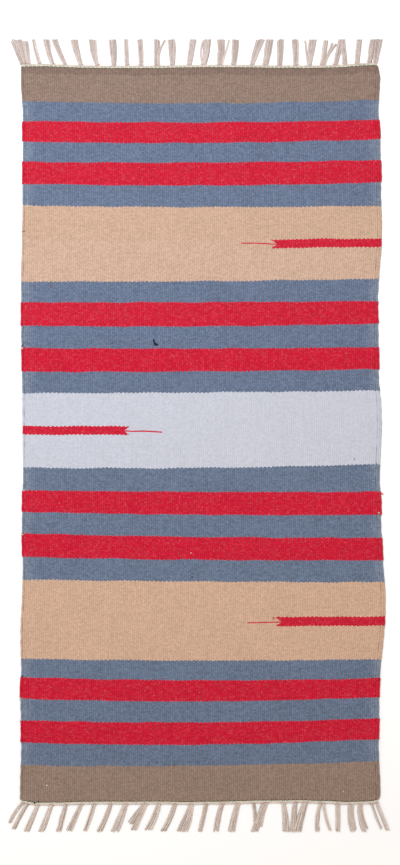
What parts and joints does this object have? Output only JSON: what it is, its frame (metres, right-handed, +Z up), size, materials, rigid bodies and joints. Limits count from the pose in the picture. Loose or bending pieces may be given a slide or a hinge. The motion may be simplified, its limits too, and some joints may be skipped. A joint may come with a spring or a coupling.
{
  "type": "kilim rug",
  "caption": "Flat-woven rug with fine lengthwise ribs, gently wavering selvedges, and a knotted fringe along a cord at each short end.",
  "frame": {"origin": "on the underside, below the middle of the whole rug with its fringes", "axes": "+Z up out of the face, +Y along the ribs towards the top end of the reference picture, +X to its right"},
  "size_m": [0.738, 1.54, 0.004],
  "materials": {
    "kilim_weave": "matte weft-faced cotton flatweave in bands of grey blue, red, sand, pale lilac grey and taupe",
    "fringe_yarn": "matte undyed plied warp yarn"
  },
  "bodies": {
    "root": {"kilim_body": "kilim_weave", "fringe_top": "fringe_yarn", "fringe_bottom": "fringe_yarn"}
  },
  "joints": []
}
